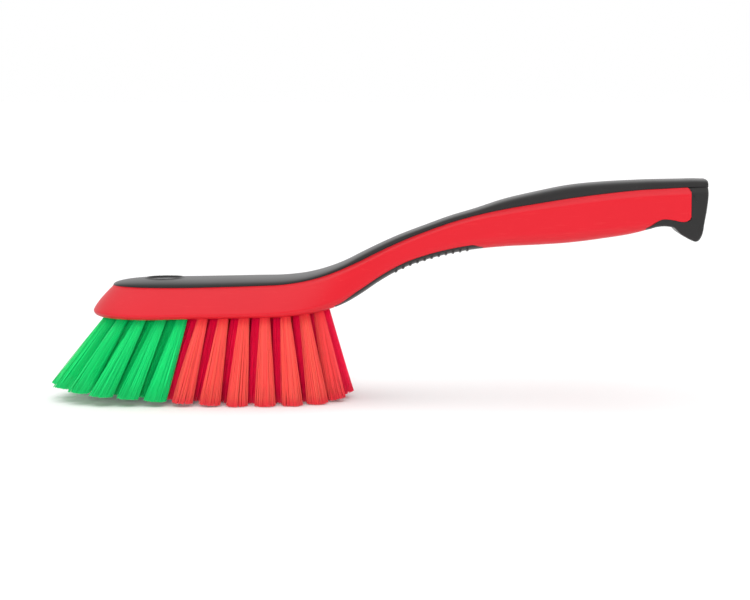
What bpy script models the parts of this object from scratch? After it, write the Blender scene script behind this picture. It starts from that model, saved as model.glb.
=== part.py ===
"""Hand brush: a moulded core with soft grips and an end hook, set with leaning tufts.

The design frame has its origin on the block's flat underside, below the tip of the
nose. X runs from the nose to the handle's end, Y across the brush, and Z up. All
sizes are in metres and all angles in degrees.
"""
from math import atan2, ceil, cos, pi, radians, sin, sqrt, tan

import bmesh
import bpy
import numpy as np
from mathutils import Vector

# Lengths along the brush
HEAD_LENGTH = 0.1127
HANDLE_LENGTH = 0.1871
HANDLE_RISE = 0.0482

# Head block
BLOCK_DEPTH = 0.0147
BLOCK_HALF_WIDTH = 0.030
BLOCK_CORNER = 0.0026
HEAD_BORDER_HALF_WIDTH = 0.0195
HEAD_CROWN = 0.0034
HEAD_CROWN_POWER = 2.4
NOSE_ROUND_LENGTH = 0.028
NOSE_ROUND_POWER = 2.2
NOSE_SETBACK = 0.0096
NOSE_SETBACK_POWER = 1.3

# Grip
GRIP_DEPTH = 0.0219
GRIP_HALF_WIDTH = 0.0138
GRIP_CORNER = 0.0078
GRIP_BORDER_HALF_WIDTH = 0.0107
GRIP_CROWN = 0.0059
GRIP_CROWN_POWER = 5.0
SHOULDER_HEIGHT = 0.0028
CORNER_HEIGHT_SHARE = 0.75
SHOULDER_WIDTH_SHARE = 0.94

# Fits and walls
FIT_GAP = 0.0003
COVER_THICKNESS = 0.0016
COVER_EDGE = 0.0015
COVER_NOSE_LAND = 0.0005
CORE_WALL = 0.0016
MERGE_DISTANCE = 1e-6
CUT_OVERRUN = 0.003

# Hollow of the handle
CAVITY_START_SHARE = 0.04
CAVITY_POWER = 2.4
CORE_END_SETBACK = 0.0089
CORE_END_CHAMFER = 0.0015

# Neck pad
PAD_START_SHARE = 0.03
PAD_END_SHARE = 0.415
PAD_HEIGHT = 0.0026
PAD_END_HEIGHT_SHARE = 0.3
PAD_RAMP_LENGTH = 0.006
PAD_PLACES = 15
PAD_RIB_COUNT = 11
PAD_RIB_START_SHARE = 0.19
PAD_RIB_END_SHARE = 0.375
PAD_RIB_HEIGHT = 0.0005
PAD_RIB_WIDTH = 0.0016
PAD_RIB_SLOPE = 0.0004
PAD_DIMPLE_SHARE = 0.099
PAD_DIMPLE_RADIUS = 0.0026
PAD_DIMPLE_DEPTH = 0.001

# Round dish on the head
DISH_RADIUS = 0.0092
DISH_DEPTH = 0.0007
DISH_PLACE_SHARE = 0.3075

# End hook
HOOK_LENGTH = 0.0306
HOOK_DROP = 0.0264
HOOK_HALF_WIDTH = 0.0136
HOOK_BEVEL = 0.0018
LINING_HEIGHT = 0.0033
LINING_TIP_SHARE = 0.3
LINING_RAMP_LENGTH = 0.008
PLUG_LENGTH = 0.008
PLUG_ROOT = 0.0012
PLUG_WALL = 0.0022
HOOK_POCKET_DEPTH = 0.0045
LINING_PLACES = 10
COVER_END_SETBACK = 0.0008
COVER_END_CHAMFER = 0.0018

# Tufts
OUTER_TUFTS = 26
INNER_TUFTS = 20
CENTRE_TUFTS = 10
GREEN_LENGTH = 0.0485
RING_NOSE_RIM = 0.0089
RING_SIDE_RIM = 0.0075
RING_SPACING = 0.0095
RING_REAR_SPACING = 0.0080
CENTRE_STAGGER = 0.0032
CENTRE_REAR_SHARE = 2.16
RING_NOSE_ROUND = 0.020
RING_REAR_ROUND = 0.030
RING_POWER = 2.1
TUFT_RADIUS = 0.0022
TUFT_SOCKET_DEPTH = 0.0105
TUFT_PROUD = 0.0004
PLUG_SIDES = 6
SOCKET_SIDES = 8

# Strands of a tuft
RING_STRANDS = 5
STRAND_ROOT_WIDTH = 0.0008
STRAND_TIP_WIDTH = 0.0027
STRAND_ROOT_CIRCLE = 0.00145
STRAND_TIP_CIRCLE = 0.0039
STRAND_EMBED = 0.002
BRISTLE_LENGTH = 0.0429

# Fan and trim of the bristles
NOSE_LEAN = 35.0
REAR_LEAN = 12.5
SIDE_LEAN = 10.0
UPRIGHT_SHARE = 0.729
NOSE_TRIM_RISE = 0.0071
NOSE_TRIM_REACH = 0.102
NOSE_TRIM_POWER = 1.4
REAR_TRIM_RISE = 0.0045
REAR_TRIM_REACH = 0.0454
REAR_TRIM_POWER = 4.0
FLAT_CUT = 0.0005

# Fineness of the surfaces
NOSE_STEPS = 10
HEAD_STEP = 0.011
HANDLE_STEP = 0.0075
STATION_SPACING = 0.0015
CORNER_STEPS = 4
SIDE_STEPS = 2
CROWN_STEPS = 5
CAVITY_SIDES = 16
BEVEL_STEPS = 2
RING_SAMPLES = 361
LEVEL_ROUNDS = 4
SHARP_ANGLE = 32
DISH_SIDES = 32
DIMPLE_SIDES = 16

# Outline of the body, one row for each place: share of the head's length, share of the
# handle's length, rise, depth, blend from head to grip, crown, width and lower corner
BODY_SHARES = (
    (0.000, 0.000, 0.000, 1.000, 0.00, 1.00, 1.000, 1.00),
    (0.300, 0.000, 0.000, 1.000, 0.00, 1.00, 1.000, 1.00),
    (0.420, 0.000, 0.001, 0.980, 0.00, 1.00, 1.000, 1.00),
    (0.560, 0.000, 0.009, 0.990, 0.00, 0.95, 1.000, 1.00),
    (0.705, 0.000, 0.019, 1.000, 0.00, 0.90, 0.995, 1.00),
    (0.848, 0.000, 0.037, 1.015, 0.02, 0.76, 0.960, 1.00),
    (0.930, 0.000, 0.067, 1.010, 0.10, 0.63, 0.925, 1.02),
    (1.000, 0.000, 0.108, 0.985, 0.25, 0.57, 0.900, 1.05),
    (1.000, 0.050, 0.178, 0.925, 0.50, 0.50, 0.880, 1.00),
    (1.000, 0.097, 0.258, 0.820, 0.70, 0.57, 0.850, 0.95),
    (1.000, 0.144, 0.347, 0.706, 0.85, 0.54, 0.850, 0.90),
    (1.000, 0.206, 0.457, 0.625, 1.00, 0.48, 0.865, 0.85),
    (1.000, 0.269, 0.554, 0.642, 1.00, 0.44, 0.860, 0.85),
    (1.000, 0.331, 0.640, 0.695, 1.00, 0.455, 0.870, 0.90),
    (1.000, 0.394, 0.711, 0.758, 1.00, 0.47, 0.900, 0.95),
    (1.000, 0.472, 0.778, 0.840, 1.00, 0.74, 0.940, 1.00),
    (1.000, 0.550, 0.831, 0.922, 1.00, 0.89, 0.975, 1.00),
    (1.000, 0.644, 0.890, 0.996, 1.00, 1.00, 1.000, 1.00),
    (1.000, 0.722, 0.930, 0.998, 1.00, 0.92, 1.000, 0.95),
    (1.000, 0.816, 0.969, 0.940, 1.00, 0.76, 0.985, 0.75),
    (1.000, 0.848, 0.978, 0.880, 1.00, 0.73, 0.985, 0.60),
    (1.000, 0.879, 0.984, 0.822, 1.00, 0.70, 0.985, 0.50),
    (1.000, 0.910, 0.991, 0.860, 1.00, 0.66, 0.985, 0.45),
    (1.000, 0.933, 0.995, 0.912, 1.00, 0.64, 0.985, 0.45),
    (1.000, 0.952, 1.000, 0.880, 1.00, 0.62, 0.985, 0.45),
    (1.000, 1.000, 1.000, 0.900, 1.00, 0.60, 0.985, 0.45),
)

# Outer outline of the hook from the top of the end face down to the lining's tip, as
# shares of its length measured back from the end and of its drop below the border
HOOK_SHARES = (
    (0.010, 0.000), (0.014, 0.170), (0.044, 0.470), (0.077, 0.682), (0.093, 0.810),
    (0.133, 0.935), (0.168, 0.985), (0.217, 1.000), (0.264, 0.982), (0.359, 0.928),
    (0.452, 0.862), (0.505, 0.800), (0.556, 0.745), (0.648, 0.722), (0.742, 0.720),
    (0.838, 0.738), (0.925, 0.772),
)

RED_PLASTIC = ("red_plastic", (0.78, 0.045, 0.045), 0.42)
BLACK_RUBBER = ("black_rubber", (0.045, 0.042, 0.042), 0.7)
GREEN_FILAMENT = ("green_filament", (0.005, 0.52, 0.16), 0.4)
RED_FILAMENT = ("red_filament", (0.85, 0.09, 0.07), 0.4)


def clear_scene():
    for thing in list(bpy.data.objects):
        bpy.data.objects.remove(thing, do_unlink=True)


def make_material(name, finish):
    """A plain material of its own for one piece."""
    kind, colour, roughness = finish
    material = bpy.data.materials.new(f"{name}_{kind}")
    material.use_nodes = True
    shader = material.node_tree.nodes["Principled BSDF"]
    shader.inputs["Base Color"].default_value = (*colour, 1.0)
    shader.inputs["Roughness"].default_value = roughness
    shader.inputs["Metallic"].default_value = 0.0
    material.diffuse_color = (*colour, 1.0)
    return material


def body_place(head_share, handle_share):
    return head_share * HEAD_LENGTH + handle_share * HANDLE_LENGTH


def smooth_value(x, places, values):
    """Cubic curve through the values, with each slope taken from the two neighbours."""
    places = np.asarray(places)
    values = np.asarray(values)
    slopes = np.gradient(values, places)
    i = int(np.clip(np.searchsorted(places, x) - 1, 0, len(places) - 2))
    span = places[i + 1] - places[i]
    t = float(np.clip((x - places[i]) / span, 0.0, 1.0))
    start = (1 + 2 * t) * (1 - t) ** 2 * values[i] + t * (1 - t) ** 2 * span * slopes[i]
    end = t * t * (3 - 2 * t) * values[i + 1] + t * t * (t - 1) * span * slopes[i + 1]
    return float(start + end)


def mix(start, end, share):
    return start + (end - start) * share


def round_share(distance, length, power):
    """Share of the full width at a distance behind a rounded end."""
    ahead = 1.0 - min(max(distance / length, 0.0), 1.0)
    return (1.0 - ahead ** power) ** (1.0 / power)


class Section:
    """The body's sizes in the plane across the brush at one x."""

    places = [body_place(row[0], row[1]) for row in BODY_SHARES]

    def __init__(self, x):
        self.x = x
        columns = [[row[i] for row in BODY_SHARES] for i in range(2, 8)]
        rise, depth, blend, crown, width, corner = (
            smooth_value(x, self.places, column) for column in columns)
        blend = min(max(blend, 0.0), 1.0)
        depth = depth * mix(BLOCK_DEPTH, GRIP_DEPTH, blend)
        self.border = BLOCK_DEPTH + rise * HANDLE_RISE
        self.bottom = self.border - depth
        self.half_width = width * mix(BLOCK_HALF_WIDTH, GRIP_HALF_WIDTH, blend)
        self.border_half = width * mix(HEAD_BORDER_HALF_WIDTH, GRIP_BORDER_HALF_WIDTH, blend)
        self.corner = corner * mix(BLOCK_CORNER, GRIP_CORNER, blend)
        self.power = mix(HEAD_CROWN_POWER, GRIP_CROWN_POWER, blend)
        self.shoulder_share = mix(0.0, SHOULDER_WIDTH_SHARE, blend)
        self.wide = self.bottom + CORNER_HEIGHT_SHARE * self.corner
        behind_nose = round_share(x - NOSE_SETBACK, NOSE_ROUND_LENGTH, NOSE_ROUND_POWER)
        self.crown = crown * behind_nose * mix(HEAD_CROWN, GRIP_CROWN, blend)
        self.full_border = self.border_half
        self.border_half *= behind_nose
        self.seat_half = max(self.border_half - COVER_EDGE, 0.0)
        self.seat_rise = max(self.crown - COVER_THICKNESS - FIT_GAP, 0.0)

    def lower_point(self, angle):
        """A point of the rounded lower corner, from the flat at 0 to the side at 90."""
        inset = self.corner * (1.0 - sin(angle))
        z = self.bottom + CORNER_HEIGHT_SHARE * self.corner * (1.0 - cos(angle))
        across = round_share(self.x - inset, NOSE_ROUND_LENGTH, NOSE_ROUND_POWER)
        return (self.half_width - inset) * across, z

    def lower_angle(self, height):
        """The corner's angle at a height above the underside, or where the nose ends it."""
        nose = 1.0 - min(self.x / self.corner, 1.0)
        drop = 1.0 - min(height / (CORNER_HEIGHT_SHARE * self.corner), 1.0)
        return max(atan2(nose, sqrt(1.0 - nose * nose)), atan2(sqrt(1.0 - drop * drop), drop))

    def side_point(self, share, outer_half):
        """A point of the side at a share of the way from the widest place to the border."""
        setback = NOSE_SETBACK * share ** NOSE_SETBACK_POWER
        across = round_share(self.x - setback, NOSE_ROUND_LENGTH, NOSE_ROUND_POWER)
        return outer_half * across, mix(self.wide, self.border, share)

    def side_points(self):
        """The side from above the widest place, over the shoulder, to the border."""
        reach = min(self.x / NOSE_SETBACK, 1.0) ** (1.0 / NOSE_SETBACK_POWER)
        shoulder = 1.0 - SHOULDER_HEIGHT / (self.border - self.wide)
        straight_half = mix(self.half_width, self.full_border, shoulder)
        shoulder_half = mix(straight_half, self.half_width, self.shoulder_share)
        points = []
        for i in range(1, SIDE_STEPS + 1):
            half = mix(self.half_width, shoulder_half, i / SIDE_STEPS)
            points.append(self.side_point(i / SIDE_STEPS * shoulder * reach, half))
        points.append(self.side_point(reach, self.full_border))
        return points

    def crown_curve(self, half, base, rise):
        """Points of the crown from its foot up to the top, by a superellipse."""
        points = []
        for i in range(CROWN_STEPS + 1):
            angle = 0.5 * pi * i / CROWN_STEPS
            y = half * max(cos(angle), 0.0) ** (2.0 / self.power)
            z = base + rise * sin(angle) ** (2.0 / self.power)
            points.append((y if i < CROWN_STEPS else 0.0, z))
        return points


def mirror_ring(x, half_ring):
    """A closed ring from its right half, which starts and ends on the middle plane."""
    left = [(-y, z) for y, z in reversed(half_ring[1:-1])]
    return [(x, y, z) for y, z in half_ring + left]


def skin_mesh(name, rings):
    """Skin closed rings of equal length, cap the ends and merge what coincides."""
    count = len(rings[0])
    verts = [point for ring in rings for point in ring]
    faces = []
    for i in range(len(rings) - 1):
        for j in range(count):
            a = i * count + j
            b = i * count + (j + 1) % count
            faces.append((a, b, b + count, a + count))
    faces.append(tuple(reversed(range(count))))
    faces.append(tuple(range(len(verts) - count, len(verts))))
    return solid_mesh(name, verts, faces)


def solid_mesh(name, verts, faces):
    """A mesh with coinciding points merged and its faces turned outward."""
    mesh = bpy.data.meshes.new(name)
    mesh.from_pydata(verts, [], faces)
    work = bmesh.new()
    work.from_mesh(mesh)
    bmesh.ops.remove_doubles(work, verts=work.verts, dist=MERGE_DISTANCE)
    bmesh.ops.dissolve_degenerate(work, edges=work.edges, dist=MERGE_DISTANCE)
    bmesh.ops.recalc_face_normals(work, faces=work.faces)
    work.to_mesh(mesh)
    work.free()
    return mesh


def add_piece(name, mesh, finish, root):
    piece = bpy.data.objects.new(name, mesh)
    bpy.context.scene.collection.objects.link(piece)
    piece.data.materials.append(make_material(name, finish))
    piece.data.shade_smooth()
    piece.data.set_sharp_from_angle(angle=radians(SHARP_ANGLE))
    piece.parent = root
    return piece


def add_tool(name, mesh, root):
    """A cutter or a lump to be joined, which is no piece of its own."""
    tool = bpy.data.objects.new(name, mesh)
    bpy.context.scene.collection.objects.link(tool)
    tool.hide_render = True
    tool.display_type = 'WIRE'
    tool.parent = root
    return tool


def add_boolean(piece, tool, operation):
    boolean = piece.modifiers.new(tool.name, 'BOOLEAN')
    boolean.operation = operation
    boolean.solver = 'EXACT'
    boolean.object = tool


def prism_between(start, end, radius, sides):
    """A straight prism of regular section from one point to another."""
    axis = (end - start).normalized()
    turn = axis.to_track_quat('Z', 'Y').to_matrix()
    rings = []
    for centre in (start, end):
        ring = []
        for k in range(sides):
            angle = 2 * pi * k / sides
            spot = Vector((radius * cos(angle), radius * sin(angle), 0))
            ring.append(tuple(centre + turn @ spot))
        rings.append(ring)
    return rings


def core_end():
    return HEAD_LENGTH + HANDLE_LENGTH - CORE_END_SETBACK


def pad_limits():
    return body_place(1.0, PAD_START_SHARE), body_place(1.0, PAD_END_SHARE)


def lining_start():
    return HEAD_LENGTH + HANDLE_LENGTH - HOOK_LENGTH


def ramp(distance, length, start_share):
    """Rises smoothly from the start share to 1 over a length."""
    t = min(max(distance / length, 0.0), 1.0)
    return mix(start_share, 1.0, t * t * (3 - 2 * t))


def pad_height(x):
    start, end = pad_limits()
    rise = ramp(x - start, 2 * PAD_RAMP_LENGTH, PAD_END_HEIGHT_SHARE)
    return PAD_HEIGHT * rise * ramp(end - x, PAD_RAMP_LENGTH, PAD_END_HEIGHT_SHARE)


def lining_height(x):
    return LINING_HEIGHT * ramp(x - lining_start(), LINING_RAMP_LENGTH, LINING_TIP_SHARE)


def pad_places():
    start, end = pad_limits()
    return list(np.linspace(start, end, PAD_PLACES))


def lining_places():
    return list(np.linspace(lining_start(), core_end() - CORE_END_CHAMFER, LINING_PLACES))


def seat_level(x, places, height):
    """Level of a soft piece's upper face, straight between its places."""
    return float(np.interp(x, places, [Section(place).bottom + height(place) for place in places]))


def pad_level(x):
    return seat_level(x, pad_places(), pad_height)


def lining_level(x):
    return seat_level(x, lining_places(), lining_height)


def stations(start, end, special):
    """Places for sections: dense at the nose, even behind it, and at special places."""
    nose = [NOSE_ROUND_LENGTH * (1 - cos(0.5 * pi * i / NOSE_STEPS)) for i in range(NOSE_STEPS)]
    head_count = ceil((HEAD_LENGTH - NOSE_ROUND_LENGTH) / HEAD_STEP)
    head = list(np.linspace(NOSE_ROUND_LENGTH, HEAD_LENGTH, head_count, endpoint=False))
    handle_count = ceil(HANDLE_LENGTH / HANDLE_STEP)
    handle = list(np.linspace(HEAD_LENGTH, HEAD_LENGTH + HANDLE_LENGTH, handle_count))
    free = [x for x in nose + head + handle if start < x < end]
    near = STATION_SPACING
    kept = [x for x in free if x < NOSE_SETBACK / 2 or all(abs(x - s) > near for s in special)]
    return sorted(kept + list(special))


def core_ring(x, cut):
    """The core's section, with its underside cut flat where a soft pad lies under it."""
    s = Section(x)
    first = s.lower_angle(cut)
    angles = [mix(first, 0.5 * pi, i / CORNER_STEPS) for i in range(CORNER_STEPS + 1)]
    lower = [s.lower_point(angle) for angle in angles]
    if cut > CORNER_HEIGHT_SHARE * s.corner:
        lower = [(y, s.bottom + cut) for y, z in lower]
    side = s.side_points()
    if s.x <= NOSE_SETBACK:
        top = side[-1][1]
        crown = [(0.0, top)] * (CROWN_STEPS + 1)
    else:
        crown = s.crown_curve(s.seat_half, s.border, s.seat_rise)
    half = [(0.0, lower[0][1])] + lower + side + crown
    return mirror_ring(x, half)


def core_cut(x):
    """How high above the outer underside the core is cut, and 0 where it isn't."""
    start, end = pad_limits()
    if start - FIT_GAP <= x <= end + FIT_GAP:
        return pad_level(x) + FIT_GAP - Section(x).bottom
    if x >= lining_start() - FIT_GAP:
        return lining_level(x) + FIT_GAP - Section(x).bottom
    return 0.0


def shrink_ring(ring, amount):
    """The ring drawn in toward its middle by a fixed amount at its sides and edges."""
    heights = [p[2] for p in ring]
    middle = 0.5 * (max(heights) + min(heights))
    tall = 1.0 - 2 * amount / (max(heights) - min(heights))
    wide = 1.0 - amount / max(p[1] for p in ring)
    return [(p[0], p[1] * wide, middle + (p[2] - middle) * tall) for p in ring]


def core_mesh():
    start, end = pad_limits()
    steps = (start - FIT_GAP, end + FIT_GAP, lining_start() - FIT_GAP)
    last = core_end()
    special = [0.0, NOSE_SETBACK, NOSE_SETBACK + COVER_NOSE_LAND, *steps]
    special += pad_places() + lining_places()
    rings = []
    for x in stations(0.0, last - CORE_END_CHAMFER, special):
        if x == steps[1]:
            rings.append(core_ring(x, core_cut(x)))
            rings.append(core_ring(x, 0.0))
        elif x in steps:
            rings.append(core_ring(x, 0.0))
            rings.append(core_ring(x, core_cut(x)))
        else:
            rings.append(core_ring(x, core_cut(x)))
    end_ring = [(last, y, z) for _, y, z in core_ring(last - CORE_END_CHAMFER, core_cut(last))]
    rings.append(shrink_ring(end_ring, CORE_END_CHAMFER / 2))
    return skin_mesh("core_body", rings)


def cavity_ring(x, inset):
    """The hollow's section, drawn in by an inset for the plug that fits it."""
    base = min(x, socket_start())
    s = Section(base)
    low = s.bottom + core_cut(base) + CORE_WALL + inset
    high = s.border + s.seat_rise - CORE_WALL - inset
    half = s.half_width - CORE_WALL - inset
    ring = []
    for k in range(CAVITY_SIDES):
        angle = 2 * pi * k / CAVITY_SIDES
        y = abs(cos(angle)) ** (2 / CAVITY_POWER) * half
        z = abs(sin(angle)) ** (2 / CAVITY_POWER) * 0.5 * (high - low)
        y = y if cos(angle) > 0 else -y
        z = z if sin(angle) > 0 else -z
        ring.append((x, y, 0.5 * (high + low) + z))
    return ring


def socket_start():
    """Where the hollow becomes the straight socket of the hook's plug."""
    return core_end() - PLUG_LENGTH - FIT_GAP


def cavity_mesh():
    first = body_place(1.0, CAVITY_START_SHARE)
    count = ceil((socket_start() - first) / HANDLE_STEP)
    rings = [cavity_ring(x, 0.0) for x in np.linspace(first, socket_start(), count)]
    rings.append(cavity_ring(core_end() + CUT_OVERRUN, 0.0))
    return skin_mesh("handle_hollow", rings)


def cover_ring(x, base_x, seated):
    """The cover's section: its crown, its edges and the hollow that sits on the core."""
    s = Section(base_x)
    foot = s.border + FIT_GAP
    outer = s.crown_curve(s.border_half, foot, s.crown - FIT_GAP)
    rise = s.seat_rise if seated else 0.0
    inner = s.crown_curve(min(s.seat_half + FIT_GAP, s.border_half), foot, rise)
    half = list(reversed(inner)) + outer
    return mirror_ring(x, half)


def cover_mesh():
    body_end = HEAD_LENGTH + HANDLE_LENGTH
    first = NOSE_SETBACK + COVER_NOSE_LAND
    step = core_end() + FIT_GAP
    last = body_end - COVER_END_SETBACK - COVER_END_CHAMFER
    rings = []
    for x in stations(first, last, (first, step, last)):
        rings.append(cover_ring(x, x, x <= step))
        if x == step:
            rings.append(cover_ring(x, x, False))
    end_x = body_end - COVER_END_SETBACK
    end_ring = cover_ring(end_x, last, False)
    foot = min(point[2] for point in end_ring)
    crown = max(point[2] for point in end_ring) - foot
    half = max(point[1] for point in end_ring)
    lower = 1.0 - COVER_END_CHAMFER / 2 / crown
    narrow = 1.0 - COVER_END_CHAMFER / 2 / half
    rings.append([(x, y * narrow, foot + (z - foot) * lower) for x, y, z in end_ring])
    return skin_mesh("top_grip", rings)


def pad_ring(x, proud):
    """The pad's section under the neck, let down by what a rib stands proud."""
    s = Section(x)
    top = pad_level(x)
    top_angle = s.lower_angle(top - s.bottom)
    lower = [s.lower_point(top_angle * i / CORNER_STEPS) for i in range(CORNER_STEPS + 1)]
    dropped = [(y, z - proud) for y, z in lower[:-1]] + [(lower[-1][0], top)]
    half = [(0.0, dropped[0][1])] + dropped + [(0.0, top)]
    return mirror_ring(x, half)


def pad_mesh():
    rib_places = np.linspace(
        body_place(1.0, PAD_RIB_START_SHARE), body_place(1.0, PAD_RIB_END_SHARE), PAD_RIB_COUNT)
    profile = []
    for place in rib_places:
        foot = PAD_RIB_WIDTH / 2
        brow = foot - PAD_RIB_SLOPE
        profile += [(place - foot, 0.0), (place - brow, PAD_RIB_HEIGHT)]
        profile += [(place + brow, PAD_RIB_HEIGHT), (place + foot, 0.0)]
    ribs_from = profile[0][0] - STATION_SPACING
    ribs_to = profile[-1][0] + STATION_SPACING
    plain = [x for x in pad_places() if not ribs_from < x < ribs_to]
    profile += [(x, 0.0) for x in plain]
    return skin_mesh("neck_grip", [pad_ring(x, proud) for x, proud in sorted(profile)])


def dimple_mesh():
    """A short round cutter square to the pad's sloping underside."""
    x = body_place(1.0, PAD_DIMPLE_SHARE)
    ahead = Section(x + PAD_DIMPLE_RADIUS)
    behind = Section(x - PAD_DIMPLE_RADIUS)
    slope = Vector((2 * PAD_DIMPLE_RADIUS, 0, ahead.bottom - behind.bottom)).normalized()
    inward = Vector((-slope.z, 0, slope.x))
    spot = Vector((x, 0, Section(x).bottom))
    mouth = spot - inward * CUT_OVERRUN
    floor = spot + inward * PAD_DIMPLE_DEPTH
    rings = prism_between(mouth, floor, PAD_DIMPLE_RADIUS, DIMPLE_SIDES)
    return skin_mesh("neck_dimple", rings)


def dish_mesh():
    """A round cutter for the shallow dish on top of the head."""
    x = DISH_PLACE_SHARE * HEAD_LENGTH
    s = Section(x)
    floor = Vector((x, 0, s.border + s.crown - DISH_DEPTH))
    rings = prism_between(floor, floor + Vector((0, 0, CUT_OVERRUN)), DISH_RADIUS, DISH_SIDES)
    return skin_mesh("head_dish", rings)


def hook_outline():
    """The hook's side outline: its outer chain, then the seat under and behind the core."""
    body_end = HEAD_LENGTH + HANDLE_LENGTH
    top = Section(body_end).border
    outer = [(body_end - back * HOOK_LENGTH, top - drop * HOOK_DROP) for back, drop in HOOK_SHARES]
    outer.append((lining_start(), Section(lining_start()).bottom))
    face = core_end() + FIT_GAP
    seat = [(x, lining_level(x)) for x in lining_places() + [face]]
    return outer, seat, (face, top)


def hook_mesh():
    """The outline extruded across the brush, with its outer edges bevelled."""
    outer, seat, top_front = hook_outline()
    outline = outer + seat + [top_front]
    work = bmesh.new()
    rows = []
    for side in (-1, 1):
        rows.append([work.verts.new((x, side * HOOK_HALF_WIDTH, z)) for x, z in outline])
    count = len(outline)
    for i in range(count):
        j = (i + 1) % count
        work.faces.new((rows[0][i], rows[0][j], rows[1][j], rows[1][i]))
    work.faces.new(list(reversed(rows[0])))
    work.faces.new(rows[1])
    bevelled = []
    for row in rows:
        for i in range(-1, len(outer) - 2):
            bevelled.append(work.edges.get((row[i], row[i + 1])))
    bmesh.ops.bevel(work, geom=bevelled, offset=HOOK_BEVEL, offset_type='OFFSET',
                    segments=BEVEL_STEPS, profile=0.5, affect='EDGES', clamp_overlap=True)
    bmesh.ops.recalc_face_normals(work, faces=work.faces)
    mesh = bpy.data.meshes.new("end_hook")
    work.to_mesh(mesh)
    work.free()
    return mesh


def plug_mesh():
    """The hook's plug, which closes the hollow handle."""
    first = core_end() + FIT_GAP - PLUG_LENGTH
    last = core_end() + FIT_GAP + PLUG_ROOT
    return skin_mesh("hook_plug", [cavity_ring(x, FIT_GAP) for x in (first, last)])


def pocket_mesh():
    """The hollow of the plug, which reaches on into the hook."""
    first = socket_start() - CUT_OVERRUN
    last = core_end() + HOOK_POCKET_DEPTH
    section = cavity_ring(socket_start(), FIT_GAP + PLUG_WALL)
    return skin_mesh("hook_pocket", [[(x, y, z) for _, y, z in section] for x in (first, last)])


def ring_places(inset, rear_inset, count):
    """Evenly spaced places on the ring that lies inside the rim by its insets."""
    first = RING_NOSE_RIM + inset
    last = HEAD_LENGTH - rear_inset
    middle = 0.5 * (first + last)
    xs = middle - 0.5 * (last - first) * np.cos(np.linspace(0.0, pi, RING_SAMPLES))
    ys = np.array([
        round_share(x - first, RING_NOSE_ROUND - inset, RING_POWER)
        * round_share(last - x, RING_REAR_ROUND - inset, RING_POWER) for x in xs])
    ys *= BLOCK_HALF_WIDTH - RING_SIDE_RIM - inset
    along = np.concatenate(([0.0], np.cumsum(np.hypot(np.diff(xs), np.diff(ys)))))
    places = []
    for i in range(count // 2 + 1):
        wanted = along[-1] * i / (0.5 * count)
        x = float(np.interp(wanted, along, xs))
        y = float(np.interp(wanted, along, ys))
        on_axis = y < MERGE_DISTANCE
        places += [(x, 0.0)] if on_axis else [(x, y), (x, -y)]
    return places


def tuft_places():
    """All tuft roots: an outer ring, a staggered inner ring and a zigzag between."""
    outer = ring_places(0.0, 0.0, OUTER_TUFTS)
    inner = ring_places(RING_SPACING, RING_REAR_SPACING, INNER_TUFTS)
    first = RING_NOSE_RIM + 2 * RING_SPACING
    last = HEAD_LENGTH - CENTRE_REAR_SHARE * RING_SPACING
    centre = []
    for i, x in enumerate(np.linspace(first, last, CENTRE_TUFTS)):
        centre.append((float(x), CENTRE_STAGGER if i % 2 else -CENTRE_STAGGER))
    return sorted(outer + inner + centre)


def upright_x():
    return mix(RING_NOSE_RIM, HEAD_LENGTH, UPRIGHT_SHARE)


def tuft_axis(x, y):
    """The way a tuft points: fanned forward, back and to the sides."""
    places = (RING_NOSE_RIM, upright_x(), HEAD_LENGTH)
    forward = radians(float(np.interp(x, places, (-NOSE_LEAN, 0.0, REAR_LEAN))))
    sideways = radians(SIDE_LEAN * y / (BLOCK_HALF_WIDTH - RING_SIDE_RIM))
    return Vector((tan(forward), tan(sideways), -1.0)).normalized()


def trim_height(x):
    """Height of the trimmed tips over the floor before the flat cut."""
    ahead = upright_x() - x
    if ahead > 0:
        return NOSE_TRIM_RISE * (ahead / NOSE_TRIM_REACH) ** NOSE_TRIM_POWER - FLAT_CUT
    return REAR_TRIM_RISE * (-ahead / REAR_TRIM_REACH) ** REAR_TRIM_POWER - FLAT_CUT


def floor_height():
    """Height of the floor in the design frame."""
    return Section(upright_x()).bottom - BRISTLE_LENGTH + FLAT_CUT


def strand_rings(root, axis, spot, turned):
    """Two square rings of one strand: one in the plug, one on its level tip."""
    start = root - axis * STRAND_EMBED + spot * STRAND_ROOT_CIRCLE
    end = start + axis * (BRISTLE_LENGTH + STRAND_EMBED)
    way = end + spot * (STRAND_TIP_CIRCLE - STRAND_ROOT_CIRCLE) - start
    share = 1.0
    for _ in range(LEVEL_ROUNDS):
        tip = start + way * share
        level = floor_height() + max(trim_height(tip.x), 0.0)
        share = (level - start.z) / way.z
    first, last = [], []
    for along, aside in ((1, 1), (-1, 1), (-1, -1), (1, -1)):
        corner = (turned * along + axis.cross(turned) * aside) * 0.5
        foot = start + corner * STRAND_ROOT_WIDTH
        flare = way + corner * (STRAND_TIP_WIDTH - STRAND_ROOT_WIDTH)
        first.append(tuple(foot))
        last.append(tuple(foot + flare * ((level - foot.z) / flare.z)))
    return [first, last]


def tuft_frame(x, y):
    """Root, axis and the two directions across a tuft."""
    root = Vector((x, y, Section(x).bottom))
    axis = tuft_axis(x, y)
    away = Vector((x - 0.5 * HEAD_LENGTH, y * HEAD_LENGTH / BLOCK_HALF_WIDTH, 0.0))
    outward = (away - axis * away.dot(axis)).normalized()
    return root, axis, outward, axis.cross(outward)


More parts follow.
